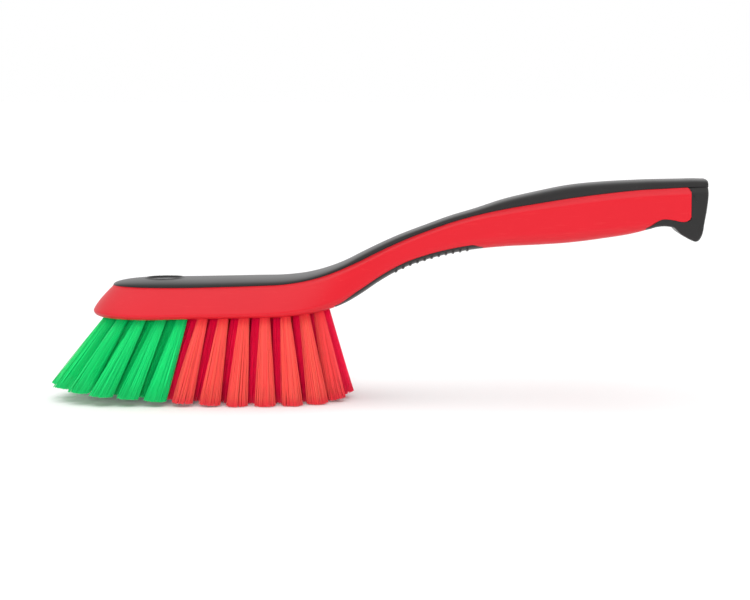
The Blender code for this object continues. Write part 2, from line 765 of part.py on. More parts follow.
def tuft_solids(x, y):
    """The plug in its socket, and the strands that grow out of it."""
    root, axis, outward, across = tuft_frame(x, y)
    inner = root - axis * (TUFT_SOCKET_DEPTH - FIT_GAP)
    outer = root + axis * TUFT_PROUD
    plug = []
    for centre in (inner, outer):
        ring = []
        for k in range(PLUG_SIDES):
            angle = 2 * pi * k / PLUG_SIDES
            ring.append(tuple(centre + (outward * cos(angle) + across * sin(angle)) * TUFT_RADIUS))
        plug.append(ring)
    strands = [strand_rings(root, axis, Vector(), outward)]
    for k in range(RING_STRANDS):
        angle = 2 * pi * k / RING_STRANDS
        spot = outward * cos(angle) + across * sin(angle)
        strands.append(strand_rings(root, axis, spot, spot))
    return plug, strands


def join_rings(name, bodies):
    """One mesh of several skinned bodies, each closed by itself."""
    joined = bmesh.new()
    for rings in bodies:
        mesh = skin_mesh(name, rings)
        joined.from_mesh(mesh)
        bpy.data.meshes.remove(mesh)
    mesh = bpy.data.meshes.new(name)
    joined.to_mesh(mesh)
    joined.free()
    return mesh


def socket_rings(x, y):
    """The blind hole for one tuft, wider than its plug by the fit gap."""
    root, axis, _, _ = tuft_frame(x, y)
    radius = (TUFT_RADIUS + FIT_GAP) / cos(pi / SOCKET_SIDES)
    mouth = root + axis * CUT_OVERRUN
    return prism_between(mouth, root - axis * TUFT_SOCKET_DEPTH, radius, SOCKET_SIDES)


def add_core(root, places):
    core = add_piece("core_body", core_mesh(), RED_PLASTIC, root)
    add_boolean(core, add_tool("handle_hollow", cavity_mesh(), root), 'DIFFERENCE')
    sockets = join_rings("tuft_sockets", [socket_rings(x, y) for x, y in places])
    add_boolean(core, add_tool("tuft_sockets", sockets, root), 'DIFFERENCE')


def add_top_grip(root):
    cover = add_piece("top_grip", cover_mesh(), BLACK_RUBBER, root)
    add_boolean(cover, add_tool("head_dish", dish_mesh(), root), 'DIFFERENCE')


def add_neck_grip(root):
    pad = add_piece("neck_grip", pad_mesh(), BLACK_RUBBER, root)
    add_boolean(pad, add_tool("neck_dimple", dimple_mesh(), root), 'DIFFERENCE')


def add_end_hook(root):
    hook = add_piece("end_hook", hook_mesh(), BLACK_RUBBER, root)
    add_boolean(hook, add_tool("hook_plug", plug_mesh(), root), 'UNION')
    add_boolean(hook, add_tool("hook_pocket", pocket_mesh(), root), 'DIFFERENCE')


def add_tufts(root, places):
    """The tufts, numbered from the nose: green ones in front and red ones behind."""
    counts = {"green": 0, "red": 0}
    for x, y in places:
        colour = "green" if x < GREEN_LENGTH else "red"
        counts[colour] += 1
        name = f"{colour}_tuft_{counts[colour]:02d}"
        finish = GREEN_FILAMENT if colour == "green" else RED_FILAMENT
        plug, strands = tuft_solids(x, y)
        tuft = add_piece(name, skin_mesh(name, plug), finish, root)
        brush = add_tool(f"{name}_strands", join_rings(name, strands), root)
        add_boolean(tuft, brush, 'UNION')


def front_reach(places):
    """The foremost x of any strand's tip."""
    tips = []
    for x, y in places:
        for _, last in tuft_solids(x, y)[1]:
            tips += [corner[0] for corner in last]
    return min(tips)


def main():
    clear_scene()
    places = tuft_places()
    root = bpy.data.objects.new("hand_brush", None)
    bpy.context.scene.collection.objects.link(root)
    back = HEAD_LENGTH + HANDLE_LENGTH - HOOK_SHARES[0][0] * HOOK_LENGTH
    root.location = (-0.5 * (front_reach(places) + back), 0.0, -floor_height())
    add_core(root, places)
    add_top_grip(root)
    add_neck_grip(root)
    add_end_hook(root)
    add_tufts(root, places)


main()
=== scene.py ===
"""The looks of the hand brush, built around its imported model.

The design frame has x from the nose tip to the handle's end, y across the brush and z up from
the block's flat underside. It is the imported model's frame moved by OFFSET. All sizes are in
metres and all angles in degrees.
"""
from math import cos, pi, radians, sin

import bmesh
import bpy
import numpy as np
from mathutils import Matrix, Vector


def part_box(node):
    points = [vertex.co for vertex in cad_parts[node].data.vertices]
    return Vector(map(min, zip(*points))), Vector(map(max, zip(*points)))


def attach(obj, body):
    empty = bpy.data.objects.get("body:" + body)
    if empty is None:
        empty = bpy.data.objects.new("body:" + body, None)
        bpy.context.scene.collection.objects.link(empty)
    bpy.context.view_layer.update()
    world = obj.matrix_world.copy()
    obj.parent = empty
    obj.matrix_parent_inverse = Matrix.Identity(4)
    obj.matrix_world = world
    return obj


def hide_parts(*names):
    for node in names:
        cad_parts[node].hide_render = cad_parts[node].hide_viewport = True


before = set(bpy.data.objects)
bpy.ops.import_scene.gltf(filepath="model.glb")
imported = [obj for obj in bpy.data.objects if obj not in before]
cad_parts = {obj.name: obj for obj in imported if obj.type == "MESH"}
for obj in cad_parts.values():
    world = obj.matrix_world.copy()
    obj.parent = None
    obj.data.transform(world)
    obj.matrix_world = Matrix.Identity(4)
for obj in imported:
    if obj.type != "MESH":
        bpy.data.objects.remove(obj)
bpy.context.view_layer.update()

# The body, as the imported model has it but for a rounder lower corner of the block, a rounder
# crown of the grip, a slight belly of the block's side and a bevel that grows along the handle
HEAD_LENGTH = 0.1127
HANDLE_LENGTH = 0.1871
HANDLE_RISE = 0.0482
BODY_END = HEAD_LENGTH + HANDLE_LENGTH
BLOCK_DEPTH = 0.0147
GRIP_DEPTH = 0.0219
BLOCK_HALF_WIDTH = 0.030
GRIP_HALF_WIDTH = 0.0138
BLOCK_CORNER = 0.0034
GRIP_CORNER = 0.0078
CORNER_RISE = 0.75
BLOCK_BORDER = 0.0195
GRIP_BORDER = 0.0107
BLOCK_CROWN = 0.0034
GRIP_CROWN = 0.0059
BLOCK_CROWN_POWER = 2.4
GRIP_CROWN_POWER = 3.6
NOSE_ROUND = 0.028
NOSE_POWER = 2.2
NOSE_SETBACK = 0.0096
NOSE_SETBACK_POWER = 1.3
SHOULDER_HEIGHT = 0.0028
SHOULDER_WIDTH = 0.94
SHOULDER_START = 0.045
SHOULDER_GROWTH = 0.09
KNEE_SOFTNESS = 0.0005
SIDE_BELLY = 0.0005
COVER_THICKNESS = 0.0016
COVER_EDGE = 0.0015
CORE_END = BODY_END - 0.0089

# Outline: share of the head, share of the handle, rise, depth, blend from head to grip,
# crown, width and lower corner
OUTLINE = np.array((
    (0.000, 0.000, 0.000, 1.000, 0.00, 1.00, 1.000, 1.00),
    (0.300, 0.000, 0.000, 1.000, 0.00, 1.00, 1.000, 1.00),
    (0.420, 0.000, 0.001, 0.980, 0.00, 1.00, 1.000, 1.00),
    (0.560, 0.000, 0.009, 0.990, 0.00, 0.95, 1.000, 1.00),
    (0.705, 0.000, 0.019, 1.000, 0.00, 0.90, 0.995, 1.00),
    (0.848, 0.000, 0.037, 1.015, 0.02, 0.76, 0.960, 1.00),
    (0.930, 0.000, 0.067, 1.010, 0.10, 0.63, 0.925, 1.02),
    (1.000, 0.000, 0.108, 0.985, 0.25, 0.57, 0.900, 1.05),
    (1.000, 0.050, 0.178, 0.925, 0.50, 0.50, 0.880, 1.00),
    (1.000, 0.097, 0.258, 0.820, 0.70, 0.57, 0.850, 0.95),
    (1.000, 0.144, 0.347, 0.706, 0.85, 0.54, 0.850, 0.90),
    (1.000, 0.206, 0.457, 0.625, 1.00, 0.48, 0.865, 0.85),
    (1.000, 0.269, 0.554, 0.642, 1.00, 0.44, 0.860, 0.85),
    (1.000, 0.331, 0.640, 0.695, 1.00, 0.455, 0.870, 0.90),
    (1.000, 0.394, 0.711, 0.758, 1.00, 0.47, 0.900, 0.95),
    (1.000, 0.472, 0.778, 0.840, 1.00, 0.74, 0.940, 1.00),
    (1.000, 0.550, 0.831, 0.922, 1.00, 0.89, 0.975, 1.00),
    (1.000, 0.644, 0.890, 0.996, 1.00, 1.00, 1.000, 1.00),
    (1.000, 0.722, 0.930, 0.998, 1.00, 0.92, 1.000, 0.95),
    (1.000, 0.816, 0.969, 0.940, 1.00, 0.76, 0.985, 0.75),
    (1.000, 0.848, 0.978, 0.880, 1.00, 0.73, 0.985, 0.60),
    (1.000, 0.879, 0.984, 0.822, 1.00, 0.70, 0.985, 0.50),
    (1.000, 0.910, 0.991, 0.860, 1.00, 0.66, 0.985, 0.45),
    (1.000, 0.933, 0.995, 0.912, 1.00, 0.64, 0.985, 0.45),
    (1.000, 0.952, 1.000, 0.880, 1.00, 0.62, 0.985, 0.45),
    (1.000, 1.000, 1.000, 0.900, 1.00, 0.60, 0.985, 0.45),
))
OUTLINE_PLACES = OUTLINE[:, 0] * HEAD_LENGTH + OUTLINE[:, 1] * HANDLE_LENGTH

# Soft pads and the dish, with the fine relief that the eye sees
PAD_START = HEAD_LENGTH + 0.03 * HANDLE_LENGTH
PAD_END = HEAD_LENGTH + 0.415 * HANDLE_LENGTH
PAD_HEIGHT = 0.0026
PAD_END_SHARE = 0.3
PAD_RAMP = 0.006
PAD_RIBS = np.linspace(HEAD_LENGTH + 0.19 * HANDLE_LENGTH, HEAD_LENGTH + 0.375 * HANDLE_LENGTH, 11)
PAD_RIB_HEIGHT = 0.00055
PAD_RIB_HALF = 0.0008
PAD_RIB_FLANK = 0.0005
PAD_FADE_SHARE = 0.86
PAD_FADE_WIDTH = 0.0012
PAD_DIMPLE = HEAD_LENGTH + 0.099 * HANDLE_LENGTH
PAD_DIMPLE_RADIUS = 0.0026
PAD_DIMPLE_DEPTH = 0.001
PAD_DIMPLE_FLANK = 0.0007
PAD_RIM_HEIGHT = 0.0005
PAD_RIM_OUT = 0.0004
PAD_RIM_WIDTH = 0.00055
DISH_PLACE = 0.3075 * HEAD_LENGTH
DISH_RADIUS = 0.0092
DISH_DEPTH = 0.0006
DISH_BEAD_HEIGHT = 0.00038
DISH_BEAD_WIDTH = 0.00055
DISH_WALL_INSET = 0.0003
DISH_WALL_WIDTH = 0.0007
DISH_LINE_HEIGHT = 0.00018
DISH_LINE_WIDTH = 0.00030
DISH_LINE_SHARE = 0.78
DISH_GRID_REACH = 0.0112
DISH_GRID_STEP = 0.00028
DISH_GRID_CLEAR = 0.0113
DISH_LEVEL_SHARE = 0.3

# End hook
HOOK_LENGTH = 0.0306
HOOK_DROP = 0.0264
LINING_START = BODY_END - HOOK_LENGTH
LINING_HEIGHT = 0.0033
LINING_TIP_SHARE = 0.3
LINING_RAMP = 0.008
HOOK_SHARES = np.array((
    (0.010, 0.000), (0.014, 0.170), (0.044, 0.470), (0.077, 0.682), (0.093, 0.810),
    (0.133, 0.935), (0.168, 0.985), (0.217, 1.000), (0.264, 0.982), (0.359, 0.928),
    (0.452, 0.862), (0.505, 0.800), (0.556, 0.745), (0.648, 0.722), (0.742, 0.720),
    (0.838, 0.738), (0.925, 0.772),
))
HOOK_ROUND = 0.0021
HOOK_BLEND = 0.012
COVER_END_SETBACK = 0.0003
COVER_END_ROUND = 0.0009
COVER_END_DROP_SHARE = 0.8
FACE_CORNER_TOP = 0.0014
FACE_CORNER_LOW = 0.0020
FACE_BACK_GAP = 0.0003

# Seams and edges that the eye sees
SEAM = 0.00014
EDGE_ROUND = 0.0003
CORE_SHARP = 40
COVER_SHARP = 45
PAD_SHARP = 50
ALL_SMOOTH = 0

# Tufts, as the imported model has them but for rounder, narrower and shallower holes
OUTER_TUFTS = 26
INNER_TUFTS = 20
CENTRE_TUFTS = 10
CENTRE_STAGGER = 0.0032
CENTRE_REAR_SHARE = 2.16
GREEN_LENGTH = 0.0485
RING_NOSE_RIM = 0.0089
RING_SIDE_RIM = 0.0075
RING_SPACING = 0.0095
RING_REAR_SPACING = 0.0080
RING_NOSE_ROUND = 0.020
RING_REAR_ROUND = 0.030
RING_POWER = 2.1
RING_SAMPLES = 361
SOCKET_RADIUS = 0.0024
SOCKET_DEPTH = 0.006
SOCKET_OVERRUN = 0.002
SOCKET_SIDES = 24
BRISTLE_LENGTH = 0.0429
NOSE_LEAN = 35.0
REAR_LEAN = 12.5
SIDE_LEAN = 10.0
UPRIGHT_PLACE = RING_NOSE_RIM + (HEAD_LENGTH - RING_NOSE_RIM) * 0.729
NOSE_TRIM_RISE = 0.0071
NOSE_TRIM_REACH = 0.102
NOSE_TRIM_POWER = 1.4
REAR_TRIM_RISE = 0.0045
REAR_TRIM_REACH = 0.0454
REAR_TRIM_POWER = 4.0
FLAT_CUT = 0.0005

# Filaments of a tuft
FILAMENTS = 210
FILAMENT_RADIUS = 0.00017
FILAMENT_SIDES = 5
FILAMENT_STEPS = 4
FILAMENT_EMBED = 0.004
FILAMENT_ROOT_CIRCLE = 0.0021
FILAMENT_TIP_CIRCLE = 0.0052
INNER_TIP_CIRCLE = 0.0064
FILAMENT_BOW = 0.0002
FILAMENT_RAGGED = 0.0002
CLUMPS = 7
CLUMP_SPREAD = 0.7
CLUMP_PULL = 0.16
CLUMP_PULL_LEAST = 0.4
TIP_SCATTER = 0.05
# Painted sheen: over this distance from the middle line the outer side tufts grow paler
OUTER_SHEEN_LENGTH = 0.014
TRIM_ROUNDS = 5

# Working values of the shapes
GOLDEN_ANGLE = pi * (3 - 5 ** 0.5)
NOSE_BLEND = 0.060
END_BLEND = 0.009
MERGE = 1e-7
TINY = 1e-9
LEVEL_STEP = 0.00004
COVER_TOP_SPLIT = 66.0
COVER_END_TURN = 80.0

# Counts of points along and across the skins
NOSE_STATIONS = 36
HEAD_STATIONS = 72
HANDLE_STATIONS = 150
CORE_UNDER_POINTS = 12
CORE_CORNER_POINTS = 13
CORE_SIDE_POINTS = 34
CORE_FILLET_POINTS = 6
CORE_SEAT_POINTS = 14
COVER_NOSE_STATIONS = 26
COVER_HEAD_STATIONS = 80
COVER_HANDLE_STATIONS = 150
COVER_END_STATIONS = 9
COVER_TOP_POINTS = 44
COVER_LEDGE_POINTS = 4
COVER_UNDER_POINTS = 12
PAD_STATIONS = 260
PAD_UNDER_POINTS = 24
PAD_CORNER_POINTS = 22
PAD_TOP_POINTS = 8
FACE_UNDER_POINTS = 24
FACE_CORNER_POINTS = 9
FACE_WALL_POINTS = 12
FACE_BORDER_POINTS = 14
HOOK_CHAIN_POINTS = (30, 26, 34)
HOOK_ROUND_POINTS = 12
HOOK_SIDE_POINTS = 16
HOOK_OUTER_POINTS = 8
HOOK_INNER_POINTS = 6


def mix(start, end, share):
    return start + (end - start) * share


def even_shares(count):
    return np.linspace(0.0, 1.0, count)


def quarter_turn(count):
    return np.radians(np.linspace(0.0, 90.0, count))


def smooth_step(t):
    t = np.clip(t, 0.0, 1.0)
    return t * t * (3 - 2 * t)


def round_share(distance, length, power):
    """Share of the full width behind a rounded end: the superellipse (1 - a^p)^(1/p), where a
    falls from 1 at the end to 0 at the length."""
    ahead = 1.0 - np.clip(distance / length, 0.0, 1.0)
    return (1.0 - ahead ** power) ** (1.0 / power)


def cubic(x, places, values):
    """Piecewise cubic through the values, whose slopes are the finite differences there."""
    slopes = np.gradient(values, places)
    i = np.clip(np.searchsorted(places, x) - 1, 0, len(places) - 2)
    span = places[i + 1] - places[i]
    t = np.clip((x - places[i]) / span, 0.0, 1.0)
    start = (1 + 2 * t) * (1 - t) ** 2 * values[i] + t * (1 - t) ** 2 * span * slopes[i]
    end = t * t * (3 - 2 * t) * values[i + 1] + t * t * (t - 1) * span * slopes[i + 1]
    return start + end


FINE_MARGIN = 0.004
FINE_COUNT = 1233
FINE_PLACES = np.linspace(-FINE_MARGIN, BODY_END + FINE_MARGIN, FINE_COUNT)
FINE_REACH = 16
FINE_SOFTNESS = 5.0


def soft_column(column):
    """An outline column on a fine even grid, rounded off by a bell-shaped running mean."""
    raw = cubic(FINE_PLACES, OUTLINE_PLACES, column)
    reach = np.arange(-FINE_REACH, FINE_REACH + 1)
    bell = np.exp(-0.5 * (reach / FINE_SOFTNESS) ** 2)
    padded = np.pad(raw, FINE_REACH, mode="edge")
    return np.convolve(padded, bell / bell.sum(), mode="valid")


FINE_COLUMNS = [soft_column(OUTLINE[:, i]) for i in range(2, 8)]


class Body:
    """The body's sizes across the brush at every x of an array. Each size of the head turns
    into that of the grip by the blend, times its own share of the outline."""

    def __init__(self, x):
        self.x = x
        rise, depth, blend, crown, width, corner = (
            cubic(x, FINE_PLACES, column) for column in FINE_COLUMNS)
        blend = np.clip(blend, 0.0, 1.0)
        self.blend = blend
        self.border = BLOCK_DEPTH + rise * HANDLE_RISE
        self.bottom = self.border - depth * mix(BLOCK_DEPTH, GRIP_DEPTH, blend)
        self.half = width * mix(BLOCK_HALF_WIDTH, GRIP_HALF_WIDTH, blend)
        self.border_half = width * mix(BLOCK_BORDER, GRIP_BORDER, blend)
        self.corner = corner * mix(BLOCK_CORNER, GRIP_CORNER, blend)
        self.power = mix(BLOCK_CROWN_POWER, GRIP_CROWN_POWER, blend)
        self.shoulder = mix(0.0, SHOULDER_WIDTH, blend)
        self.wide = self.bottom + CORNER_RISE * self.corner
        self.behind = round_share(x - NOSE_SETBACK, NOSE_ROUND, NOSE_POWER)
        self.crown = crown * self.behind * mix(BLOCK_CROWN, GRIP_CROWN, blend)

    def shoulder_height(self):
        """Height of the bevel below the border, which grows along the handle."""
        grown = smooth_step((self.x - HEAD_LENGTH - SHOULDER_START) / SHOULDER_GROWTH)
        return mix(0.5, 1.0, grown) * SHOULDER_HEIGHT

    def side(self, share):
        """Half width of the side at a share of the way from the widest place to the border:
        the soft minimum of the side line and the bevel line, and a slight belly on the head."""
        knee = 1.0 - self.shoulder_height() / (self.border - self.wide)
        straight = mix(self.half, self.border_half, knee)
        brow = mix(straight, self.half, self.shoulder)
        low = self.half + (brow - self.half) * share / knee
        high = self.border_half + (brow - self.border_half) * (1 - share) / (1 - knee)
        lean = np.clip(0.5 + 0.5 * (high - low) / KNEE_SOFTNESS, 0.0, 1.0)
        belly = SIDE_BELLY * (1 - self.blend) * 4 * share * (1 - share)
        return mix(high, low, lean) - KNEE_SOFTNESS * lean * (1 - lean) + belly

    def side_at(self, z):
        """Half width of the side at a height, and the full width below the widest place."""
        return self.side(np.clip((z - self.wide) / (self.border - self.wide), 0.0, 1.0))


UPRIGHT_BODY = Body(np.array([UPRIGHT_PLACE]))
FLOOR = float(UPRIGHT_BODY.bottom[0]) - BRISTLE_LENGTH + FLAT_CUT
OFFSET = np.array((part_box("core_body")[0].x, 0.0, -FLOOR))


def superellipse(angle, power):
    """Unit superellipse in polar form: radius (|cos|^p + |sin|^p)^(-1/p) at the angle."""
    c, s = np.cos(angle), np.sin(angle)
    radius = (np.abs(c) ** power + np.abs(s) ** power) ** (-1.0 / power)
    return radius * c, radius * s


def mirrored(half):
    """Closed rings from their right halves, which start and end on the middle plane."""
    left = half[:, -2:0:-1] * np.array((1.0, -1.0, 1.0))
    return np.concatenate((half, left), axis=1)


def make_mesh(name, points, faces):
    """A mesh from a row of points and faces, with the frame's offset added, coinciding points
    merged and its faces turned outward."""
    mesh = bpy.data.meshes.new(name)
    mesh.from_pydata((points + OFFSET).tolist(), [], faces)
    work = bmesh.new()
    work.from_mesh(mesh)
    bmesh.ops.remove_doubles(work, verts=work.verts, dist=MERGE)
    bmesh.ops.dissolve_degenerate(work, edges=work.edges, dist=MERGE)
    bmesh.ops.recalc_face_normals(work, faces=work.faces)
    work.to_mesh(mesh)
    work.free()
    return mesh


def ring_faces(rows, count):
    """Quads between neighbouring rings of a grid, each ring closed on itself."""
    index = np.arange(rows * count).reshape(rows, count)
    beside = np.roll(index, -1, axis=1)
    return np.stack((index[:-1], beside[:-1], beside[1:], index[1:]), -1).reshape(-1, 4).tolist()


def skin(name, rings):
    """A closed skin over a grid of rings, whose first and last rings are drawn together to
    the middle of each."""
    first = np.broadcast_to(rings[:1].mean(axis=1, keepdims=True), rings[:1].shape)
    last = np.broadcast_to(rings[-1:].mean(axis=1, keepdims=True), rings[-1:].shape)
    grid = np.concatenate((first, rings, last))
    return make_mesh(name, grid.reshape(-1, 3), ring_faces(len(grid), grid.shape[1]))


def add_piece(name, mesh, finish, slot, sharp, *nodes):
    """A piece that rides on the body and stands for its nodes. Edges above the sharp angle
    stay sharp, and at 0 none does."""
    piece = bpy.data.objects.new(name, mesh)
    bpy.context.scene.collection.objects.link(piece)
    mesh.materials.append(finish)
    mesh.shade_smooth()
    if sharp:
        mesh.set_sharp_from_angle(angle=radians(sharp))
    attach(piece, "root")
    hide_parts(*nodes)
    return piece


# Shader maths

GENERATED_PLACE = 0
OBJECT_PLACE = 3
Z_PART = 2
ATTRIBUTE_VALUE = 2
MIX_SHARE = 0
MIX_FIRST = 6
MIX_SECOND = 7
MIX_COLOUR = 2


class Wire:
    """A socket whose sums and products add Math nodes to its node tree."""

    def __init__(self, nodes, socket):
        self.nodes = nodes
        self.socket = socket

    def join(self, kind, first, second):
        return self.nodes.node("Math", {"operation": kind}, {0: first, 1: second})[0]

    def __add__(self, other):
        return self.join("ADD", self, other)

    def __radd__(self, other):
        return self.join("ADD", other, self)

    def __mul__(self, other):
        return self.join("MULTIPLY", self, other)

    def __rmul__(self, other):
        return self.join("MULTIPLY", other, self)

    def larger(self, other):
        return self.join("MAXIMUM", self, other)


class Nodes:
    """A node tree and one way to add any node to it."""

    def __init__(self, tree):
        self.tree = tree

    def node(self, kind, settings, sockets):
        """A node of a type, with its settings set first and then its sockets' values or
        links. It returns its outputs as wires."""
        node = self.tree.nodes.new("ShaderNode" + kind)
        for setting, value in settings.items():
            setattr(node, setting, value)
        for socket, value in sockets.items():
            self.plug(node.inputs[socket], value)
        return [Wire(self, output) for output in node.outputs]

    def plug(self, socket, value):
        if isinstance(value, Wire):
            self.tree.links.new(value.socket, socket)
        else:
            socket.default_value = value


class Finish(Nodes):
    """A material with one Principled shader, whose constants are set by name."""

    def __init__(self, name, **constants):
        self.material = bpy.data.materials.new(name)
        self.material.use_nodes = True
        super().__init__(self.material.node_tree)
        self.shader = self.tree.nodes["Principled BSDF"]
        self.feed(**constants)

    def feed(self, **sockets):
        for socket, value in sockets.items():
            self.plug(self.shader.inputs[socket.replace("_", " ")], value)
        return self.material

    def place(self, scale=(1.0, 1.0, 1.0)):
        """Object coordinates, stretched by a scale."""
        spot = self.node("TexCoord", {}, {})[OBJECT_PLACE]
        return self.node("Mapping", {}, {"Vector": spot, "Scale": scale})[0]

    def noise(self, scale, detail, stretch=(1.0, 1.0, 1.0)):
        sockets = {"Vector": self.place(stretch), "Scale": scale, "Detail": detail}
        return self.node("TexNoise", {}, sockets)[0]

    def band(self, value, low, high):
        """0 below the low value, 1 above the high value and an even S curve between."""
        settings = {"interpolation_type": "SMOOTHSTEP"}
        sockets = {"Value": value, "From Min": low, "From Max": high}
        return self.node("MapRange", settings, sockets)[0]

    def blend(self, share, first, second):
        """Colour mixed from two by a share."""
        sockets = {MIX_SHARE: share, MIX_FIRST: first, MIX_SECOND: second}
        return self.node("Mix", {"data_type": "RGBA"}, sockets)[MIX_COLOUR]

    def attribute(self, name):
        return self.node("Attribute", {"attribute_name": name}, {})[ATTRIBUTE_VALUE]

    def bump(self, height, strength, distance):
        sockets = {"Strength": strength, "Distance": distance, "Height": height}
        return self.node("Bump", {}, sockets)[0]


# Finishes

RED_DEEP = (0.62, 0.004, 0.014, 1.0)
RED_CLEAR = (0.665, 0.006, 0.018, 1.0)
RED_WORN = (0.82, 0.09, 0.08, 1.0)
BLACK_DEEP = (0.007, 0.0065, 0.0065, 1.0)
BLACK_CLEAR = (0.012, 0.011, 0.011, 1.0)
GREY_DUST = (0.12, 0.115, 0.11, 1.0)
# Filament colours: body is the filament's own colour; the paler colour of the outer side tufts is
# painted sheen of the light on the outer row, and the root colour is painted shade where the
# filaments leave the block
GREEN_STRAND = {
    "root": (0.001, 0.38, 0.075, 1.0), "body": (0.001, 0.76, 0.18, 1.0),
    "outer_sheen": (0.001, 0.80, 0.205, 1.0), "tip": (0.01, 0.72, 0.20, 1.0)}
RED_STRAND = {
    "root": (0.93, 0.003, 0.055, 1.0), "body": (1.0, 0.004, 0.070, 1.0),
    "outer_sheen": (1.0, 0.125, 0.090, 1.0), "tip": (0.98, 0.04, 0.08, 1.0)}
GRAIN_DEPTH = 0.00004


def red_plastic():
    """Satin moulded plastic: a fine spark-eroded grain, faint clouds in the colour and a few
    hair scratches along the brush."""
    finish = Finish("red_moulded_plastic", IOR=1.46)
    cloud = finish.noise(scale=38.0, detail=3.0)
    grain = finish.noise(scale=2600.0, detail=2.0)
    streaks = finish.noise(scale=90.0, detail=4.0, stretch=(1.0, 14.0, 14.0))
    hair = finish.band(streaks, low=0.60, high=0.72)
    colour = finish.blend(cloud, RED_DEEP, RED_CLEAR)
    worn = finish.blend(hair * 0.10, colour, RED_WORN)
    rough = 0.40 + cloud * 0.10 + grain * 0.05
    height = grain * 0.7 + hair * 0.3
    bump = finish.bump(height, strength=0.35, distance=GRAIN_DEPTH)
    return finish.feed(Base_Color=worn, Roughness=rough, Normal=bump)


def black_rubber():
    """Soft-touch rubber: dull, finely grained, with pale handling marks."""
    finish = Finish("black_soft_rubber", IOR=1.44)
    cloud = finish.noise(scale=45.0, detail=4.0)
    grain = finish.noise(scale=3200.0, detail=2.0)
    colour = finish.blend(cloud, BLACK_DEEP, BLACK_CLEAR)
    dust = finish.band(finish.noise(scale=900.0, detail=3.0), low=0.62, high=0.80)
    dusted = finish.blend(dust * 0.12, colour, GREY_DUST)
    rough = 0.30 + cloud * 0.08 + grain * 0.04
    bump = finish.bump(grain, strength=0.25, distance=GRAIN_DEPTH)
    return finish.feed(Base_Color=dusted, Roughness=rough, Normal=bump)


def filament(name, root, body, outer_sheen, tip):
    """Extruded filament: each one a little lighter or darker at random, paler on the outer side
    tufts as painted sheen of the light on the outer row, deeper in colour where it leaves the
    block as painted shade under the block, and duller at its cut tip."""
    finish = Finish(name, IOR=1.5)
    strand = finish.attribute("strand")
    reach = finish.attribute("reach")
    # Outer side tufts are blended to the paler colour, a painted sheen of the light on the outer
    # row
    sheen_body = finish.blend(finish.attribute("across_share"), body, outer_sheen)
    # Where the filaments leave the block they take the darker root colour, a painted shade under
    # the block
    lower = finish.blend(finish.band(reach, low=0.0, high=0.20), root, sheen_body)
    upper = finish.blend(finish.band(reach, low=0.90, high=1.0) * 0.6, lower, tip)
    varied = finish.blend(strand * 0.38, upper, root)
    rough = 0.34 + strand * 0.14 + finish.band(reach, low=0.90, high=1.0) * 0.2
    return finish.feed(Base_Color=varied, Roughness=rough)


# Soft pads' levels

def ramp(distance, length, start_share):
    """Rises smoothly from the start share to 1 over a length."""
    return mix(start_share, 1.0, smooth_step(distance / length))


def pad_level(x):
    """Height of the neck pad's upper face: the underside plus the pad's height, which is
    ramped at both ends."""
    rise = ramp(x - PAD_START, 2 * PAD_RAMP, PAD_END_SHARE)
    return Body(x).bottom + PAD_HEIGHT * rise * ramp(PAD_END - x, PAD_RAMP, PAD_END_SHARE)


def lining_level(x):
    """Height of the hook lining's upper face, ramped from its thin tip."""
    return Body(x).bottom + LINING_HEIGHT * ramp(x - LINING_START, LINING_RAMP, LINING_TIP_SHARE)


def cut_level(x):
    """Height at which the core's underside is cut: above the pads, and far below elsewhere."""
    pad = (x >= PAD_START) & (x <= PAD_END)
    lining = x >= LINING_START
    level = np.where(pad, pad_level(x) + SEAM, -1.0)
    return np.where(lining, lining_level(x) + SEAM, level)


def stations(*extra):
    """Places along the brush: squared spacing in the nose, then even, and the extra ones."""
    nose = NOSE_ROUND * (even_shares(NOSE_STATIONS) ** 2)
    head = np.linspace(NOSE_ROUND, HEAD_LENGTH, HEAD_STATIONS)[1:]
    handle = np.linspace(HEAD_LENGTH, CORE_END, HANDLE_STATIONS)[1:]
    return np.unique(np.concatenate((nose, head, handle, *extra)))


def corner_cut(distance, radius):
    """How far a rounded corner of the radius pulls back a line at a distance from its edge."""
    inside = np.clip(radius - distance, 0.0, radius)
    return radius - np.sqrt(radius ** 2 - inside ** 2)


def long_lines(base, setback, cut):
    """Place along x of each lengthwise line at each station: it starts at its setback, joins
    the stations behind the nose and ends short by its cut."""
    ahead = np.clip(1.0 - base / NOSE_BLEND, 0.0, 1.0) ** 2
    behind = smooth_step((base - CORE_END + END_BLEND) / END_BLEND)
    return base[:, None] + setback * ahead[:, None] - cut * behind[:, None]


